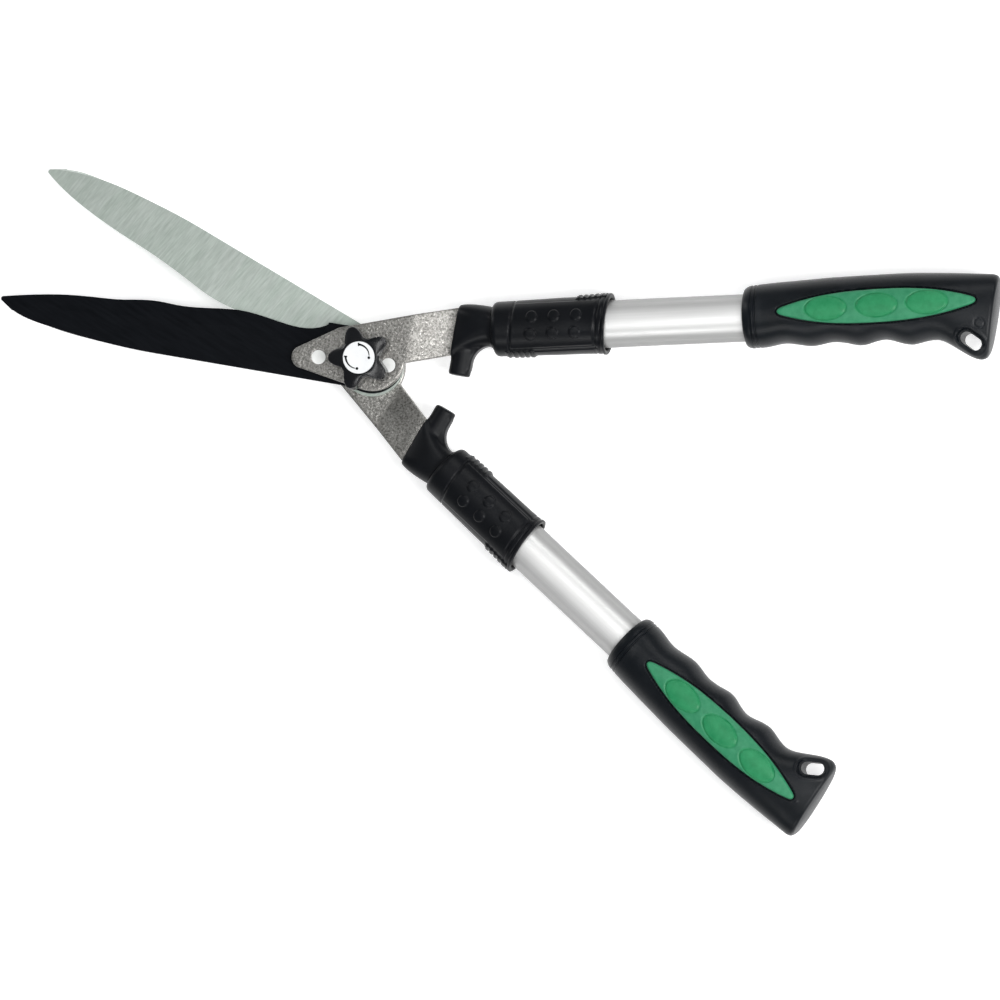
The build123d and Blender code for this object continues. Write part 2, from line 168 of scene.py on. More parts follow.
def cut(thing, cutter):
    """Subtracts the cutter from thing and deletes it."""
    boolean = thing.modifiers.new("cut", "BOOLEAN")
    boolean.object = cutter
    boolean.operation = "DIFFERENCE"
    boolean.solver = "EXACT"
    apply_modifiers(thing)
    bpy.data.objects.remove(cutter)


# ---- materials --------------------------------------------------------------------------------------
class Paint:
    """A node material under construction, with short calls for the nodes that every finish uses."""

    def __init__(self, name, metallic=0.0, roughness=0.5, specular=0.5):
        self.material = bpy.data.materials.new(name)
        self.material.use_nodes = True
        self.tree = self.material.node_tree
        self.shader = self.tree.nodes["Principled BSDF"]
        self.shader.inputs["Metallic"].default_value = metallic
        self.shader.inputs["Roughness"].default_value = roughness
        self.shader.inputs["Specular IOR Level"].default_value = specular
        self.coordinates = self.node("ShaderNodeTexCoord").outputs["Object"]

    def node(self, kind, **inputs):
        made = self.tree.nodes.new(kind)
        for key, value in inputs.items():
            made.inputs[key.replace("_", " ")].default_value = value
        return made

    def link(self, output, target):
        self.tree.links.new(output, target)

    def stretched(self, turn=0.0, scale=(1, 1, 1)):
        """Object coordinates turned about Z by an angle in degrees, then scaled."""
        turned = self.node("ShaderNodeMapping")
        turned.inputs["Rotation"].default_value = (0, 0, -radians(turn))
        self.link(self.coordinates, turned.inputs["Vector"])
        scaled = self.node("ShaderNodeMapping")
        scaled.inputs["Scale"].default_value = scale
        self.link(turned.outputs["Vector"], scaled.inputs["Vector"])
        return scaled.outputs["Vector"]

    def noise(self, scale, detail=4.0, roughness=0.55, vector=None):
        made = self.node("ShaderNodeTexNoise", Scale=scale, Detail=detail, Roughness=roughness)
        self.link(vector or self.coordinates, made.inputs["Vector"])
        return made.outputs["Fac"]

    def cells(self, scale):
        made = self.node("ShaderNodeTexVoronoi", Scale=scale)
        self.link(self.coordinates, made.inputs["Vector"])
        return made.outputs["Distance"]

    def ramp(self, value, *stops):
        """Colours at their places along 0..1, each a triple or a plain grey."""
        made = self.node("ShaderNodeValToRGB")
        elements = made.color_ramp.elements
        while len(elements) < len(stops):
            elements.new(0.5)
        for element, (place, colour) in zip(elements, stops):
            element.position = place
            element.color = (colour, colour, colour, 1) if isinstance(colour, float) else (*colour, 1)
        self.link(value, made.inputs["Fac"])
        return made.outputs["Color"]

    def spread(self, value, low, high, to_low, to_high):
        """Maps low..high to to_low..to_high."""
        made = self.node("ShaderNodeMapRange")
        made.inputs["From Min"].default_value = low
        made.inputs["From Max"].default_value = high
        made.inputs["To Min"].default_value = to_low
        made.inputs["To Max"].default_value = to_high
        self.link(value, made.inputs["Value"])
        return made.outputs["Result"]

    def multiply(self, share, first, second):
        """The first colour darkened by the second, by a share of 0 to 1."""
        made = self.node("ShaderNodeMix")
        made.data_type = "RGBA"
        made.blend_type = "MULTIPLY"
        made.inputs[0].default_value = share
        self.link(first, made.inputs[6])
        self.link(second, made.inputs[7])
        return made.outputs[2]

    def colour(self, output):
        self.link(output, self.shader.inputs["Base Color"])
        return self

    def roughness(self, output):
        self.link(output, self.shader.inputs["Roughness"])
        return self

    def bump(self, *layers):
        """Stacks (height output, distance in mm) layers into the normal."""
        normal = None
        for height, distance in layers:
            made = self.node("ShaderNodeBump", Strength=1.0, Distance=distance * MM)
            self.link(height, made.inputs["Height"])
            if normal is not None:
                self.link(normal, made.inputs["Normal"])
            normal = made.outputs["Normal"]
        self.link(normal, self.shader.inputs["Normal"])
        return self


def black_plastic(name, shade_from, shade_to, roughness, specular, grain_depth):
    """Moulded black plastic: fine spark-eroded grain and slow changes of tone and gloss."""
    paint = Paint(name, roughness=roughness, specular=specular)
    tone = paint.noise(60, 5)
    grain = paint.noise(2300, 3, 0.6)
    cloud = paint.noise(22, 3)
    paint.colour(paint.ramp(tone, (0.3, shade_from), (0.7, shade_to)))
    paint.roughness(paint.spread(cloud, 0.3, 0.7, roughness - 0.05, roughness + 0.07))
    return paint.bump((grain, grain_depth), (cloud, 0.05)).material


def hammered_steel():
    """Silver hammertone paint: small dark pits between brighter islands."""
    paint = Paint("hammered_steel", metallic=0.75, roughness=0.32, specular=0.4)
    speck = paint.noise(760, 4, 0.7)
    island = paint.cells(520)
    cloud = paint.noise(90, 4)
    pits = paint.ramp(speck, (0.36, (0.15, 0.147, 0.138)), (0.62, (0.48, 0.47, 0.45)))
    patches = paint.ramp(cloud, (0.35, (0.70, 0.69, 0.67)), (0.7, (1.0, 1.0, 0.98)))
    paint.colour(paint.multiply(0.6, pits, patches))
    paint.roughness(paint.spread(speck, 0.35, 0.65, 0.40, 0.26))
    return paint.bump((speck, 0.13), (island, 0.10)).material


def coated_blade():
    """Black non-stick coating on steel, blue-grey, with faint wiping streaks."""
    paint = Paint("coated_blade", metallic=0.0, roughness=0.46, specular=0.06)
    streak = paint.noise(60, 5, 0.6, paint.stretched(-10.4, (1, 9, 1)))
    grain = paint.noise(1500, 3)
    paint.colour(paint.ramp(streak, (0.3, (0.0030, 0.0036, 0.0048)), (0.75, (0.0052, 0.0062, 0.0082))))
    paint.roughness(paint.spread(streak, 0.3, 0.7, 0.36, 0.5))
    return paint.bump((grain, 0.012)).material


def ground_blade():
    """Bare ground steel with grinding lines across the blade and an uneven pale tarnish."""
    paint = Paint("ground_blade", metallic=0.35, roughness=0.4, specular=0.4)
    lines = paint.noise(900, 4, 0.65, paint.stretched(-20.0, (1, 0.09, 1)))
    bands = paint.noise(160, 4, 0.6, paint.stretched(-20.0, (1, 0.12, 1)))
    cloud = paint.noise(28, 4)
    fine = paint.ramp(lines, (0.3, (0.39, 0.435, 0.40)), (0.7, (0.56, 0.61, 0.57)))
    broad = paint.ramp(bands, (0.3, (0.88, 0.92, 0.89)), (0.7, (1.0, 1.0, 1.0)))
    paint.colour(paint.multiply(1.0, fine, broad))
    paint.roughness(paint.spread(cloud, 0.3, 0.7, 0.34, 0.46))
    return paint.bump((lines, 0.012)).material


def tube_metal(name, side):
    """Satin anodised aluminium: very fine drawing lines along the tube, and painted shade darkening both
    flanks.
    """
    handle = Handle(side)
    turn = degrees(atan2(handle.along[1], handle.along[0]))
    paint = Paint(name, metallic=0.35, roughness=0.36, specular=0.4)
    lines = paint.noise(700, 3, 0.5, paint.stretched(turn, (0.015, 1, 1)))
    cloud = paint.noise(30, 3)
    across = paint.node("ShaderNodeVectorMath")
    across.operation = "DOT_PRODUCT"
    across.inputs[1].default_value = tuple(handle.out)
    paint.link(paint.coordinates, across.inputs[0])
    middle = float(handle.origin @ handle.out)
    # painted shade: the colour falls from full along the tube's middle line to 0.3 at both flanks, where the
    # real tube reflects its dark surroundings
    flank = paint.ramp(
        paint.spread(across.outputs["Value"], middle - TUBE_R * MM, middle + TUBE_R * MM, 0, 1),
        (0.0, 0.30), (0.16, 0.62), (0.36, 1.0), (0.64, 1.0), (0.84, 0.62), (1.0, 0.30),
    )
    drawn = paint.ramp(lines, (0.25, (0.70, 0.70, 0.69)), (0.75, (0.78, 0.78, 0.775)))
    paint.colour(paint.multiply(1.0, drawn, flank))
    paint.roughness(paint.spread(cloud, 0.3, 0.7, 0.32, 0.42))
    return paint.bump((lines, 0.006)).material


def turned_metal(name, colour_low, colour_high, roughness=0.3, metallic=1.0):
    """Turned or plated metal with light scratches."""
    paint = Paint(name, metallic=metallic, roughness=roughness)
    scratch = paint.noise(1800, 3, 0.6)
    cloud = paint.noise(160, 4)
    paint.colour(paint.ramp(cloud, (0.3, colour_low), (0.7, colour_high)))
    paint.roughness(paint.spread(scratch, 0.3, 0.7, roughness - 0.06, roughness + 0.1))
    return paint.bump((scratch, 0.012)).material


def green_rubber(name, shade_from, shade_to):
    """Soft moulded rubber: slightly milky green with a fine matt grain."""
    paint = Paint(name, roughness=0.45, specular=0.3)
    cloud = paint.noise(230, 5, 0.6)
    grain = paint.noise(1900, 3)
    paint.colour(paint.ramp(cloud, (0.3, shade_from), (0.72, shade_to)))
    paint.roughness(paint.spread(cloud, 0.3, 0.7, 0.38, 0.52))
    return paint.bump((grain, 0.03), (cloud, 0.05)).material


def white_plastic():
    """Glossy white cap."""
    paint = Paint("white_plastic", roughness=0.3, specular=0.5)
    cloud = paint.noise(150, 3)
    paint.colour(paint.ramp(cloud, (0.3, (0.80, 0.81, 0.82)), (0.7, (0.86, 0.87, 0.87))))
    paint.roughness(paint.spread(cloud, 0.3, 0.7, 0.26, 0.36))
    return paint.bump((paint.noise(1400, 2), 0.01)).material


def nylon():
    """Natural nylon of the bushes and collets."""
    paint = Paint("nylon", roughness=0.5)
    cloud = paint.noise(120, 3)
    paint.colour(paint.ramp(cloud, (0.3, (0.62, 0.60, 0.54)), (0.7, (0.72, 0.70, 0.64))))
    return paint.bump((paint.noise(1200, 3), 0.02)).material


MATERIALS = {
    "housing_plastic": black_plastic(
        "housing_plastic", (0.0028, 0.0034, 0.0045), (0.0050, 0.0058, 0.0075), 0.36, 0.14, 0.03
    ),
    "grip_plastic": black_plastic(
        "grip_plastic", (0.0030, 0.0044, 0.0060), (0.0058, 0.0076, 0.0100), 0.33, 0.17, 0.07
    ),
    "knob_plastic": black_plastic(
        "knob_plastic", (0.0030, 0.0034, 0.0044), (0.0050, 0.0056, 0.0070), 0.2, 0.5, 0.01
    ),
    "hammered_steel": hammered_steel(),
    "coated_blade": coated_blade(),
    "ground_blade": ground_blade(),
    "front_tube": tube_metal("front_tube", "front"),
    "rear_tube": tube_metal("rear_tube", "rear"),
    "rivet_steel": turned_metal("rivet_steel", (0.80, 0.81, 0.79), (0.92, 0.93, 0.91), 0.4, 0.1),
    "bolt_steel": turned_metal("bolt_steel", (0.42, 0.42, 0.43), (0.56, 0.56, 0.56)),
    "nut_brass": turned_metal("nut_brass", (0.62, 0.44, 0.19), (0.78, 0.58, 0.28)),
    "green_rubber": green_rubber("green_rubber", (0.016, 0.180, 0.080), (0.038, 0.240, 0.118)),
    "green_pads": green_rubber("green_pads", (0.008, 0.180, 0.065), (0.020, 0.235, 0.092)),
    "white_plastic": white_plastic(),
    "nylon": nylon(),
}


def finish(thing, material):
    """Gives an object its material in every slot, or in a new slot if it has none."""
    slots = thing.material_slots
    if not slots:
        thing.data.materials.append(MATERIALS[material])
    for place in slots:
        place.material = MATERIALS[material]


# ---- camera, light and floor -------------------------------------------------------------------------
VIEW_TILT = radians(12.0)     # camera leans from straight above towards the handles
VIEW_ROLL = radians(20.34)    # the tool's X axis runs this far below the view's horizontal
VIEW_CENTRE = (107.3, -50.7)  # point of the blades' mating plane at the view's centre, in mm
VIEW_WIDTH = 600.0            # width of the view at that point, in mm
VIEW_DISTANCE = 12000.0       # far enough away that the view is almost without perspective, in mm
SENSOR = 36.0


def make_camera():
    """Camera over the tool, leaning towards the handles and rolled."""
    toward = Vector((sin(VIEW_TILT), 0, cos(VIEW_TILT)))
    flat_x = Vector((cos(VIEW_TILT), 0, -sin(VIEW_TILT)))
    flat_y = Vector((0, 1, 0))
    right = cos(VIEW_ROLL) * flat_x + sin(VIEW_ROLL) * flat_y
    up = -sin(VIEW_ROLL) * flat_x + cos(VIEW_ROLL) * flat_y
    target = Vector((VIEW_CENTRE[0] * MM, VIEW_CENTRE[1] * MM, pivot.z))
    data = bpy.data.cameras.new("camera")
    data.sensor_width = SENSOR
    data.lens = SENSOR * VIEW_DISTANCE / VIEW_WIDTH
    data.clip_start = 0.1
    data.clip_end = 100
    camera = bpy.data.objects.new("camera", data)
    place = target + toward * VIEW_DISTANCE * MM
    turn = Matrix((right, up, toward)).transposed().to_4x4()
    camera.matrix_world = Matrix.Translation(place) @ turn
    bpy.context.scene.collection.objects.link(camera)
    bpy.context.scene.camera = camera


def area_light(name, place, aim, size, energy):
    """Rectangular light at a place, facing its aim."""
    data = bpy.data.lights.new(name, "AREA")
    data.shape = "RECTANGLE"
    data.size, data.size_y = size
    data.energy = energy
    light = bpy.data.objects.new(name, data)
    light.location = place
    light.rotation_euler = (Vector(aim) - Vector(place)).to_track_quat("-Z", "Y").to_euler()
    bpy.context.scene.collection.objects.link(light)


FLOOR_GAP = 0.3          # the floor lies this far under the tool, in mm
FLOOR_HALF = 6.0         # half the floor's side, in metres
LIGHT_AIM = (0.08, 0, 0)
LIGHTS = (               # name, place and aim in metres, sides in metres, power in watts
    ("right", (1.5, 0, 1.4), (0.1, 0, 0), (0.5, 1.8), 34),
    ("strip", (0.1, 0, 1.6), (0.1, 0, 0), (0.13, 1.6), 6),
    ("back", (0.3, 1.5, 1.2), LIGHT_AIM, (1.3, 0.4), 9),
    ("left", (-1.6, 0.5, 0.8), LIGHT_AIM, (0.5, 0.7), 6),
    ("near", (0.5, -1.5, 1.0), LIGHT_AIM, (1.2, 0.4), 9),
)


def make_stage():
    """Pale glowing floor, a dim even sky and the lights."""
    low = cad_box[0][2] - FLOOR_GAP * MM
    half = FLOOR_HALF
    mesh = bpy.data.meshes.new("floor")
    corners = [(-half, -half, low), (half, -half, low), (half, half, low), (-half, half, low)]
    mesh.from_pydata(corners, [], [(0, 1, 2, 3)])
    floor = bpy.data.objects.new("floor", mesh)
    bpy.context.scene.collection.objects.link(floor)
    paint = Paint("floor", roughness=0.9, specular=0.1)
    paint.colour(paint.ramp(paint.noise(3, 2), (0.3, (0.88, 0.88, 0.88)), (0.7, (0.90, 0.90, 0.90))))
    paint.shader.inputs["Emission Color"].default_value = (1, 1, 1, 1)
    paint.shader.inputs["Emission Strength"].default_value = 0.45
    mesh.materials.append(paint.material)
    world = bpy.data.worlds.new("studio")
    world.use_nodes = True
    world.node_tree.nodes["Background"].inputs["Color"].default_value = (0.95, 0.98, 1, 1)
    world.node_tree.nodes["Background"].inputs["Strength"].default_value = 0.16
    bpy.context.scene.world = world
    bpy.context.scene.view_settings.view_transform = "Standard"
    for name, place, aim, size, energy in LIGHTS:
        area_light(name, place, aim, size, energy)


# ---- CAD nodes ---------------------------------------------------------------------------------------
ARM_NODES = {            # materials of the nodes that each arm has
    "blade_rivets": "rivet_steel",
    "tang": "hammered_steel",
    "tube_pins": "rivet_steel",
    "guide_bush": "nylon",
    "lock_collet": "nylon",
    "coupling": "housing_plastic",
    "lock_collar": "housing_plastic",
    "grip": "grip_plastic",
    "grip_inlay_top": "green_rubber",
    "grip_inlay_back": "green_rubber",
}
SINGLE_NODES = {
    "front_blade": "coated_blade",
    "rear_blade": "ground_blade",
    "front_inner_tube": "front_tube",
    "front_outer_tube": "front_tube",
    "rear_inner_tube": "rear_tube",
    "rear_outer_tube": "rear_tube",
    "pivot_bolt": "bolt_steel",
    "tension_washer": "bolt_steel",
    "spring_washer": "bolt_steel",
    "knob_nut": "nut_brass",
    "star_knob": "housing_plastic",
    "knob_cap": "white_plastic",
}


def paint_nodes():
    for side in SIDES:
        for part, material in ARM_NODES.items():
            finish(nodes[f"{side}_{part}"], material)
    for name, material in SINGLE_NODES.items():
        finish(nodes[name], material)


# ---- locking collars ---------------------------------------------------------------------------------
# Stations run along the handle axis from the pivot's side, in mm.
COLLAR_FROM, COLLAR_ROUND, COLLAR_TO = 79.8, 83.0, 150.0  # rear end, end of its rounding, and mouth
COLLAR_LIP = 0.5         # height of the mouth's rounding
MOUTH_R = 18.0
SLANT = tan(radians(7.4))     # lean of the mouth and of the panel's lines
COLLAR_PROFILE = [(83, 16.5), (90, 16.6), (120, 17.15), (143, 17.6), (150, 18.2), (156, 18.4)]
COLLAR_HOLLOW = ((112, 15.8), (111.5, 15.3), (86, 15.3), (86, 13.0), (79.8, 13.0))  # station and radius
COLLAR_GROOVES = ((91.6, 0.45), (144.4, 0.35), (147.4, 0.35))  # station and half width
RIB_PADS = ((131.4, 149.6, 1), (87.4, 104.4, -1))  # from, to, and on the outward or the inward flank
RIB_PITCH = 3.4
BUMP_ROWS = (5.1, -5.1)
BUMP_STATIONS = (104.7, 118.3, 131.9)
BUMP_R = 3.5


def collar_radius(s, angle):
    """Outer radius of the collar in mm, from its station and the angle round it from outward."""
    radius = flow(COLLAR_PROFILE, s)
    corner = np.clip((COLLAR_ROUND - s) / (COLLAR_ROUND - COLLAR_FROM), 0, 1)
    radius = radius - 2.6 * (1 - np.sqrt(1 - corner**2))
    t = radius * np.cos(angle)
    z = radius * np.sin(angle)
    line = s - SLANT * t
    panel = window(line, 93.2, 142.6, 0.7) * window(t, -12.6, 13.4, 0.7)
    radius = radius + 0.4 * panel
    for place, width in COLLAR_GROOVES:
        radius = radius - 0.45 * window(line, place - width, place + width, 0.35)
    radius = radius + 0.35 * window(line, 148.4, 152, 0.5)
    radius = radius - 0.35 * window(t, -15.1, -14.4, 0.4) * window(s, 105, 143, 1.5)
    for start, end, flank in RIB_PADS:
        pad = window(s, start, end, 0.5) * window(z, -8.2, 8.2, 0.6) * (flank * t > 0)
        ribs = 0.5 - 0.5 * np.cos((s - start) * 2 * pi / RIB_PITCH)
        radius = radius + pad * (0.55 + 0.6 * smoothstep(0.25, 0.75, ribs))
    for row in BUMP_ROWS:
        for along in BUMP_STATIONS:
            away = np.hypot(s - along - SLANT * row, t - row)
            dome = 0.95 - 0.25 * (away / BUMP_R) ** 2
            radius = radius + dome * (1 - smoothstep(BUMP_R - 0.5, BUMP_R + 0.1, away))
    return radius


def make_collar(side):
    """Twist collar with slanted mouth, bumps, ribs and a stepped hollow."""
    handle = Handle(side)
    columns = 300
    angle = np.linspace(0, 2 * pi, columns, endpoint=False)
    level = 0 * angle
    mouth = COLLAR_TO + SLANT * MOUTH_R * np.cos(angle)
    straight = COLLAR_TO - COLLAR_LIP
    rounding = np.linspace(COLLAR_FROM, COLLAR_ROUND, 14)[:-1]
    rings = []
    for nominal in np.concatenate([rounding, np.linspace(COLLAR_ROUND, straight, 210)]):
        share = max(0.0, (nominal - COLLAR_ROUND) / (straight - COLLAR_ROUND))
        s = nominal + share * (mouth - COLLAR_LIP - straight)
        rings.append((s, collar_radius(s, angle)))
    lip = rings[-1][1]
    rings.append((mouth - 0.15, lip - 0.15))
    rings.append((mouth, lip - COLLAR_LIP))
    rings.append((mouth, level + 16.3))
    rings.append((mouth - 0.5, level + 15.8))
    for s, radius in COLLAR_HOLLOW:
        rings.append((level + s, level + radius))
    verts = np.concatenate([handle.place(s, r * np.cos(angle), r * np.sin(angle)) for s, r in rings])
    name = f"{side}_lock_collar"
    piece = new_object(f"{name}_shell", verts, grid_faces(len(rings), columns, close_rows=True), 50)
    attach(piece, f"{side}_collar")
    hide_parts(name)
    finish(piece, "housing_plastic")


# ---- grips and inlays --------------------------------------------------------------------------------
# Half widths outward and inward, and half thickness, against the station, in mm.
OUTWARD = [
    (233, 15.2), (233.5, 16.9), (234.5, 18.0), (236, 18.8), (240, 19.4), (247, 20.0),
    (258, 20.6), (273, 21.3), (286, 21.9), (302, 22.2), (317, 22.4), (333, 22.5),
    (347, 22.0), (358, 21.4), (366, 20.9), (374, 20.3), (381, 19.8), (389, 19.2),
]
INWARD = [
    (233, 14.9), (233.5, 16.6), (234.5, 17.7), (236, 18.4), (240, 18.5), (246, 18.2),
    (250, 17.5), (254, 16.8), (258, 16.6), (262, 17.1), (266, 17.8), (270, 18.5),
    (274, 18.7), (278, 18.2), (282, 17.4), (286, 16.95), (290, 17.25), (294, 17.9),
    (298, 18.9), (302, 19.6), (306, 19.3), (310, 18.2), (314, 17.2), (318, 16.9),
    (322, 17.7), (326, 19.0), (330, 20.1), (334, 20.6), (338, 20.0), (342, 19.1),
    (346, 18.5), (350, 18.6), (354, 20.0), (358, 22.3), (362, 24.9), (366, 27.5),
    (370, 29.8), (374, 31.3), (378, 31.7), (389, 31.2),
]
THICK = [
    (233, 14.5), (233.5, 16.3), (234.5, 17.4), (236, 18.1), (247, 18.4), (273, 18.3),
    (302, 18.3), (317, 18.2), (333, 18.0), (347, 17.6), (358, 16.6), (366, 15.6),
    (374, 14.4), (381, 13.2), (389, 12.2),
]
GRIP_FROM = 233.0
GRIP_GROOVES = (238.6, 241.1)
BORE_R, BORE_TO = 14.35, 358.0
BUTT_STATION = 385.6
BUTT_SLANT = 0.17
BUTT_ROUND = 2.0
BUTT_CORNER = 5.5        # length of the rounding of the butt's two corners
BUTT_CROWN = ((0.92, 0.25), (0.7, 0.6), (0.4, 0.9), (0.12, 1.0))  # share of the outline, and rise
SLOT_PLACE = (370.8, -20.7)
SLOT_TURN = radians(-37)
SLOT_LONG, SLOT_WIDE = 14.0, 7.6
RECESS_LONG, RECESS_WIDE = 18.6, 12.0
RECESS_FLOOR = 8.5
RING_MARK = (376.6, -10.5)
DOT_MARK = (378.0, 0.0)
INLAY_FROM, INLAY_TO = 255.2, 375.0
INLAY_HALF_LENGTH = (INLAY_TO - INLAY_FROM) / 2
INLAY_MIDDLE = (INLAY_FROM + INLAY_TO) / 2
INLAY_HALF_WIDTH = 9.75
INLAY_TIP = 4.5          # square of the half width, in mm, that the blunt tips keep
INLAY_BED = 1.5          # depth of the bed in the grip
PADS = (284.6, 315.5, 346.0)
PAD_HALF_LONG, PAD_HALF_WIDE = 12.4, 7.1
PAD_SHIFT = 0.2          # outward, from the inlay's middle line
FACES = {1: (2.5, 0.0175), -1: (0.05, 0.0)}  # inlay's outward shift and lean on each face of the arm


def inlay_half_width(s):
    u = np.clip(np.abs(s - INLAY_MIDDLE) / INLAY_HALF_LENGTH, 0, 1)
    return np.sqrt((INLAY_HALF_WIDTH * (1 - u**2.4) ** 0.85) ** 2 + INLAY_TIP * (1 - u**40))


def inlay_centre(s, face):
    shift, lean = FACES[face]
    return shift + lean * (s - INLAY_MIDDLE)


def pad_distance(s, t, place, face):
    """Distance from a pad's middle, where 1 is its oval outline."""
    across = t - inlay_centre(place, face) - PAD_SHIFT
    return np.hypot((s - place) / PAD_HALF_LONG, across / PAD_HALF_WIDE)


def inlay_distance(s, t, face):
    """Distance in mm from the inlay's outline, positive outside it."""
    edge_s = np.linspace(INLAY_FROM, INLAY_TO, 400)
    half = inlay_half_width(edge_s)
    away = np.full(np.shape(s), 1e9)
    for way in (1, -1):
        edge_t = inlay_centre(edge_s, face) + way * half
        for es, et in zip(edge_s, edge_t):
            away = np.minimum(away, (s - es) ** 2 + (t - et) ** 2)
    inside = np.abs(t - inlay_centre(s, face)) < inlay_half_width(s)
    inside = inside & (s > INLAY_FROM) & (s < INLAY_TO)
    return np.where(inside, -1, 1) * np.sqrt(away)


def stadium_distance(s, t, long, wide):
    """Distance from the outline of an oval slot at the hang slot's place, positive outside."""
    ds, dt = s - SLOT_PLACE[0], t - SLOT_PLACE[1]
    along = ds * cos(SLOT_TURN) + dt * sin(SLOT_TURN)
    across = -ds * sin(SLOT_TURN) + dt * cos(SLOT_TURN)
    over = np.maximum(np.abs(along) - (long - wide) / 2, 0)
    return np.hypot(over, across) - wide / 2


def grip_height(s, t):
    """Half thickness of the bare grip in mm at a point of its outline."""
    reach = np.where(t > 0, flow(OUTWARD, s), flow(INWARD, s))
    return flow(THICK, s) * np.sqrt(np.clip(1 - (t / reach) ** 2, 0, 1))


def grip_rings(angle):
    """Sections of the bare grip from its front end to the slanted butt: stations, widths and heights."""
    outward = np.cos(angle) > 0
    length = BUTT_STATION - GRIP_FROM
    front = np.linspace(0, 3, 14)[:-1]
    middle = np.linspace(3, length - BUTT_ROUND, 300)
    butt = length - BUTT_ROUND * (1 - np.sin(np.linspace(0, pi / 2, 9)[1:]))
    rings = []
    for run in np.concatenate([front, middle, butt]):
        into = np.clip(BUTT_ROUND - (length - run), 0, BUTT_ROUND)
        inset = BUTT_ROUND - sqrt(BUTT_ROUND**2 - into**2)
        nominal = GRIP_FROM + run
        far = np.clip((nominal - (BUTT_STATION - BUTT_CORNER)) / BUTT_CORNER, 0, 1)
        corner = np.where(outward, 3.2, 4.0) * (1 - np.sqrt(1 - far**2)) * np.abs(np.cos(angle)) ** 3
        slant = BUTT_SLANT * smoothstep(60, length, run)
        s = np.full(len(angle), nominal)
        for _ in range(3):
            reach = np.where(outward, flow(OUTWARD, s), flow(INWARD, s))
            t = (reach - inset - corner) * np.cos(angle)
            s = nominal + slant * t
        z = (flow(THICK, s) - inset) * np.sin(angle)
        rings.append((s, t, z))
    return [np.array(values) for values in zip(*rings)]


def sink_details(s, t, z, arm_side):
    """Heights of the grip's surface with its ring grooves, inlay beds, marks and slot recesses."""
    for place in GRIP_GROOVES:
        ring = 0.6 * window(s, place - 0.3, place + 0.3, 0.35)
        size = np.hypot(t, z)
        t, z = t * (1 - ring / size), z * (1 - ring / size)
    for face in (1, -1):
        world = face * arm_side
        near = np.sign(z) == world
        bed = INLAY_BED * (1 - smoothstep(0.65, 1.25, inlay_distance(s, t, face)))
        if face == 1:
            mark = 0.3 * window(np.hypot(s - RING_MARK[0], t - RING_MARK[1]), 2.7, 3.2, 0.4)
        else:
            mark = -0.5 * (1 - smoothstep(0.4, 1.0, np.hypot(s - DOT_MARK[0], t - DOT_MARK[1])))
        level = np.abs(z) - bed - mark
        rim = stadium_distance(s, t, RECESS_LONG, RECESS_WIDE)
        level = level + 0.35 * window(rim, 0.2, 0.9, 0.8)
        dip = np.minimum(level, RECESS_FLOOR + 9 * smoothstep(-0.9, 0.5, rim))
        level = np.where(rim < 0.5, dip, level)
        z = np.where(near, world * np.maximum(level, 0.0), z)
    return t, z


def slot_cutter(side):
    """Oval prism through the hang slot."""
    around = np.linspace(-pi / 2, pi / 2, 25)
    end_r = SLOT_WIDE / 2
    half = (SLOT_LONG - SLOT_WIDE) / 2
    ring = [(half + end_r * cos(a), end_r * sin(a)) for a in around]
    ring += [(-half - end_r * cos(a), -end_r * sin(a)) for a in around]
    s = np.array([SLOT_PLACE[0] + x * cos(SLOT_TURN) - y * sin(SLOT_TURN) for x, y in ring])
    t = np.array([SLOT_PLACE[1] + x * sin(SLOT_TURN) + y * cos(SLOT_TURN) for x, y in ring])
    count = len(ring)
    handle = Handle(side)
    verts = np.concatenate([handle.place(s, t, -30.0), handle.place(s, t, 30.0)])
    faces = grid_faces(2, count) + [tuple(range(count)), tuple(range(count, 2 * count))]
    return new_object(f"{side}_slot_cutter", verts, faces)


def make_grip(side):
    """Grip with finger bumps, inlay beds, a crowned butt, its bore for the tube and the hang slot."""
    handle = Handle(side)
    columns = 288
    angle = np.linspace(0, 2 * pi, columns, endpoint=False) + 1e-4
    s, t, z = grip_rings(angle)
    crown = [
        (BUTT_STATION + BUTT_SLANT * t[-1] * share + rise, t[-1] * share, z[-1] * share)
        for share, rise in BUTT_CROWN
    ]
    t, z = sink_details(s, t, z, 1 if side == "front" else -1)
    front = (np.full(columns, GRIP_FROM), BORE_R * np.cos(angle), BORE_R * np.sin(angle))
    bore = (np.full(columns, BORE_TO), BORE_R * np.cos(angle), BORE_R * np.sin(angle))
    rows = [bore, front, *zip(s, t, z), *crown]
    verts = np.concatenate([handle.place(*row) for row in rows])
    last = (len(rows) - 1) * columns
    faces = grid_faces(len(rows), columns)
    faces += [tuple(range(columns)), tuple(range(last, last + columns))]
    name = f"{side}_grip"
    piece = new_object(f"{name}_body", verts, faces, 42)
    cut(piece, slot_cutter(side))
    shade(piece, 42)
    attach(piece, f"{side}_handle")
    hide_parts(name)
    finish(piece, "grip_plastic")


def colour_pads(piece, handle, face):
    """Gives the pads, with their creases, a darker green than the rest of the inlay."""
    piece.data.materials.append(MATERIALS["green_rubber"])
    piece.data.materials.append(MATERIALS["green_pads"])
    middles = np.zeros(len(piece.data.polygons) * 3)
    piece.data.polygons.foreach_get("center", middles)
    middles = (middles.reshape(-1, 3) - handle.origin) / MM
    s, t = middles @ handle.along, middles @ handle.out
    on_pad = np.zeros(len(middles), bool)
    for place in PADS:
        on_pad |= pad_distance(s, t, place, face) < 1.06
    piece.data.polygons.foreach_set("material_index", on_pad.astype(np.int32))


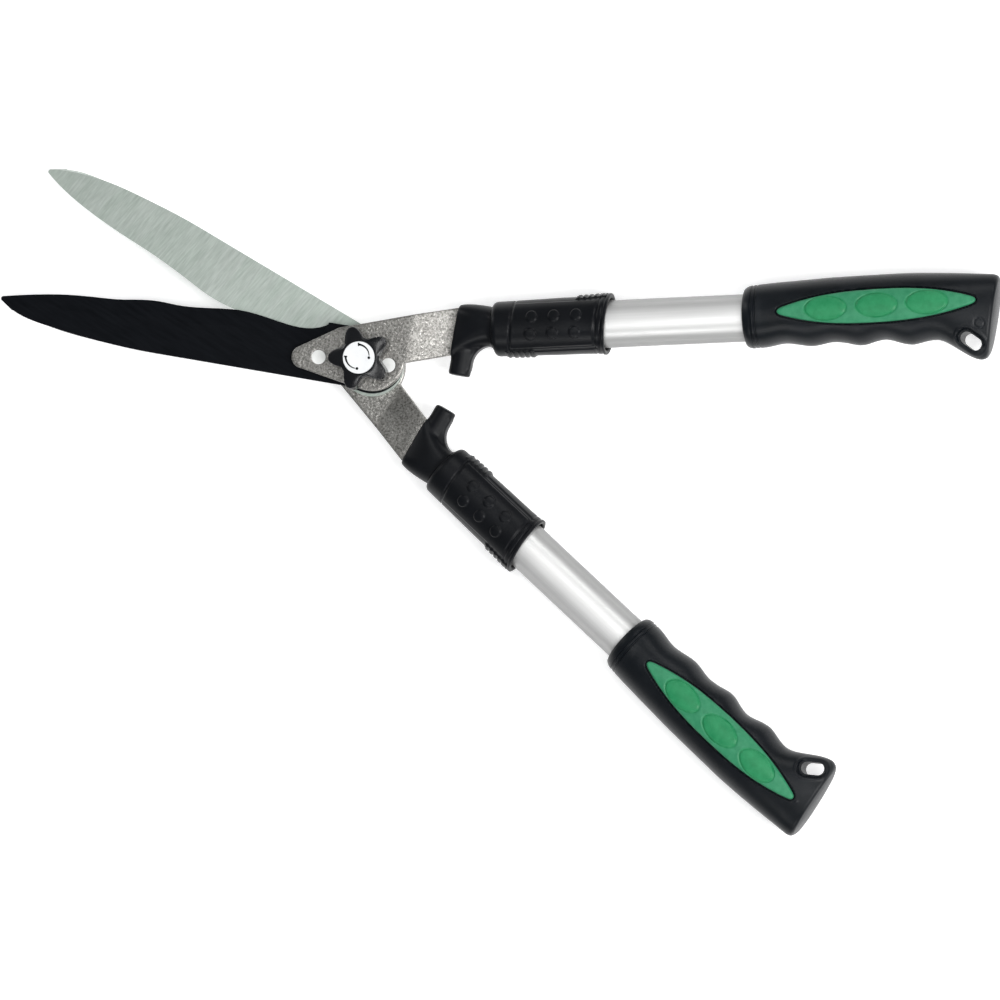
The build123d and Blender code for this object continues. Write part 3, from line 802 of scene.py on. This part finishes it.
def make_inlay(side, face):
    """Soft inlay with a rounded edge and three oval pads, each inside a crease."""
    handle = Handle(side)
    arm_side = 1 if side == "front" else -1
    world = face * arm_side
    turn = np.linspace(0, pi, 320)[1:-1]
    s = INLAY_MIDDLE - INLAY_HALF_LENGTH * np.cos(turn)
    v = np.sin(np.linspace(-pi / 2, pi / 2, 61))
    ss, vv = np.meshgrid(s, v, indexing="ij")
    tt = inlay_centre(ss, face) + vv * inlay_half_width(ss)
    depth = -inlay_distance(ss, tt, face)
    edge = np.clip(depth / 1.3, 0, 1)
    level = -0.9 + 1.45 * np.sqrt(1 - (1 - edge) ** 2)
    for place in PADS:
        oval = pad_distance(ss, tt, place, face)
        level = level + 0.55 * np.sqrt(np.clip(1 - oval**2, 0, 1))
        level = level - 0.55 * window(oval, 1.0, 1.03, 0.06)
    top = grip_height(ss, tt) + level
    low = grip_height(ss, tt) - 1.9
    count = len(s) * len(v)
    verts = np.concatenate([
        handle.place(ss, tt, world * top).reshape(-1, 3),
        handle.place(ss, tt, world * low).reshape(-1, 3),
    ])
    sheet = grid_faces(len(s), len(v), close_columns=False)
    faces = sheet + [tuple(count + i for i in quad) for quad in sheet]
    rim = [i * len(v) for i in range(len(s))] + [(len(s) - 1) * len(v) + j for j in range(1, len(v))]
    rim += [i * len(v) + len(v) - 1 for i in range(len(s) - 2, -1, -1)] + list(range(len(v) - 2, 0, -1))
    for a, b in zip(rim, rim[1:] + rim[:1]):
        faces.append((a, b, count + b, count + a))
    label = "top" if world > 0 else "back"
    name = f"{side}_grip_inlay_{label}"
    piece = new_object(f"{name}_pad", verts, faces, 60)
    colour_pads(piece, handle, face)
    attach(piece, f"{side}_handle")
    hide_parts(name)


# ---- star knob --------------------------------------------------------------------------------------
KNOB_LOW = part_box("star_knob")[0].z / MM
KNOB_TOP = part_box("star_knob")[1].z / MM
STAR_TURN = 199.0        # angle of one arm from the X axis, in degrees
ARM_PITCH = 72.0         # angle between two arms, in degrees
VALLEY_R = 12.3
ARM_REACH = 7.0          # tip radius less valley radius
CAP_R = 9.7
SEAT_R = 10.7            # radius where the arms start to slope down
EDGE_R = 0.8             # rounding of the arms' upper edge
BOSS = ((7.6, 0.0), (7.6, 0.7), (7.2, 0.7))  # radius, and height over the knob's underside


def star_radius(angle):
    """Outline of the knob's arms in mm."""
    off_arm = np.abs((np.degrees(angle) - STAR_TURN + ARM_PITCH / 2) % ARM_PITCH - ARM_PITCH / 2)
    return VALLEY_R + ARM_REACH * (1 - smoothstep(2.0, 32.0, off_arm))


def make_star_knob():
    """Five sloping arms with rounded shoulders round the cap's seat."""
    columns = 360
    angle = np.linspace(0, 2 * pi, columns, endpoint=False)
    level = 0 * angle
    tip = star_radius(angle)
    crest = KNOB_TOP - 0.3 - 1.3 * np.clip((tip - VALLEY_R) / ARM_REACH, 0, 1)
    shoulder = tip - EDGE_R
    rings = [(CAP_R, KNOB_TOP - 1.0), (CAP_R, KNOB_TOP - 0.25), (CAP_R + 0.25, KNOB_TOP), (SEAT_R, KNOB_TOP)]
    for share in np.linspace(0.12, 1, 16):
        rings.append((SEAT_R + (shoulder - SEAT_R) * share, KNOB_TOP + (crest - KNOB_TOP) * share**1.4))
    for turn in np.linspace(0, pi / 2, 8)[1:]:
        rings.append((shoulder + EDGE_R * sin(turn), crest - EDGE_R * (1 - cos(turn))))
    rings.append((tip + 0.15, KNOB_LOW + 0.8))
    rings.append((tip - 0.5, KNOB_LOW))
    rings += [(r, KNOB_LOW + rise) for r, rise in BOSS]
    rings.append((BOSS[-1][0], KNOB_TOP - 1.0))
    verts = np.concatenate([
        np.stack([(level + r) * np.cos(angle), (level + r) * np.sin(angle), level + z], -1) * MM
        for r, z in rings
    ])
    piece = new_object("star_knob_body", verts, grid_faces(len(rings), columns, close_rows=True), 40)
    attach(piece, "knob")
    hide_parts("star_knob")
    finish(piece, "knob_plastic")


CAP_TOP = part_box("knob_cap")[1].z / MM
MARKS = ((90, -2, 7.85, 6.35), (175, 262, 7.95, 6.7))  # from and to, in degrees, and radius at each end
MARK_ROOT = CAP_TOP - 0.1
MARK_TOP = CAP_TOP + 0.06
DOT_R = 0.85
BAR_CORNERS = ((-1.0, -0.45), (1.0, -0.45), (1.0, 0.45), (-1.0, 0.45))


def make_arrows():
    """Two curved marks on the cap, each a tapering stroke from a bar to a round dot."""
    for index, (first, last, outer, inner) in enumerate(MARKS):
        start = radians(first) + VIEW_ROLL
        end = radians(last) + VIEW_ROLL
        share = np.linspace(0, 0.88, 30)
        turn = start + (end - start) * share
        radius = outer + (inner - outer) * share
        half_width = 0.62 - 0.42 * share
        rows = []
        for edge in (-1, 1):
            reach = radius + edge * half_width
            rows.append(np.stack([reach * np.cos(turn), reach * np.sin(turn)], -1))
        outline = np.concatenate([rows[0], rows[1][::-1]])
        stroke = prism(f"turn_mark_{index}_stroke", outline, MARK_ROOT, MARK_TOP)
        around = np.linspace(0, 2 * pi, 28, endpoint=False)
        middle = inner * np.array((cos(end), sin(end)))
        spot = middle + DOT_R * np.stack([np.cos(around), np.sin(around)], -1)
        dot = prism(f"turn_mark_{index}_dot", spot, MARK_ROOT, MARK_TOP)
        radial = np.array((cos(start), sin(start)))
        across = np.array((-sin(start), cos(start)))
        corners = np.array([radial * (outer + a) + across * b for a, b in BAR_CORNERS])
        bar = prism(f"turn_mark_{index}_bar", corners, MARK_ROOT, MARK_TOP - 0.005)
        for piece in (stroke, dot, bar):
            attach(piece, "knob")
            finish(piece, "housing_plastic")


def prism(name, outline, low, high):
    """Straight prism, in mm, over a closed outline in the XY plane."""
    count = len(outline)
    verts = [(x * MM, y * MM, z * MM) for z in (low, high) for x, y in outline]
    faces = grid_faces(2, count) + [tuple(range(count)), tuple(range(count, 2 * count))]
    return new_object(name, verts, faces, 30)


# ---- couplings and tangs ------------------------------------------------------------------------------
def make_melted(name, label, voxel, rounds, material, body):
    """Copy of a CAD node with its edges and bends rounded off, by a voxel remesh and smoothing."""
    piece = nodes[name].copy()
    piece.data = nodes[name].data.copy()
    piece.name = f"{name}_{label}"
    bpy.context.scene.collection.objects.link(piece)
    remesh = piece.modifiers.new("remesh", "REMESH")
    remesh.mode = "VOXEL"
    remesh.voxel_size = voxel * MM
    smooth = piece.modifiers.new("smooth", "SMOOTH")
    smooth.factor = 0.5
    smooth.iterations = rounds
    apply_modifiers(piece)
    shade(piece, 70)
    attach(piece, body)
    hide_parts(name)
    finish(piece, material)


for side in SIDES:
    make_collar(side)
    make_grip(side)
    make_melted(f"{side}_coupling", "moulding", 0.45, 60, "housing_plastic", f"{side}_arm")
    make_melted(f"{side}_tang", "bent", 0.4, 14, "hammered_steel", f"{side}_arm")
    for face in (1, -1):
        make_inlay(side, face)
make_star_knob()
make_arrows()

make_camera()
make_stage()
paint_nodes()
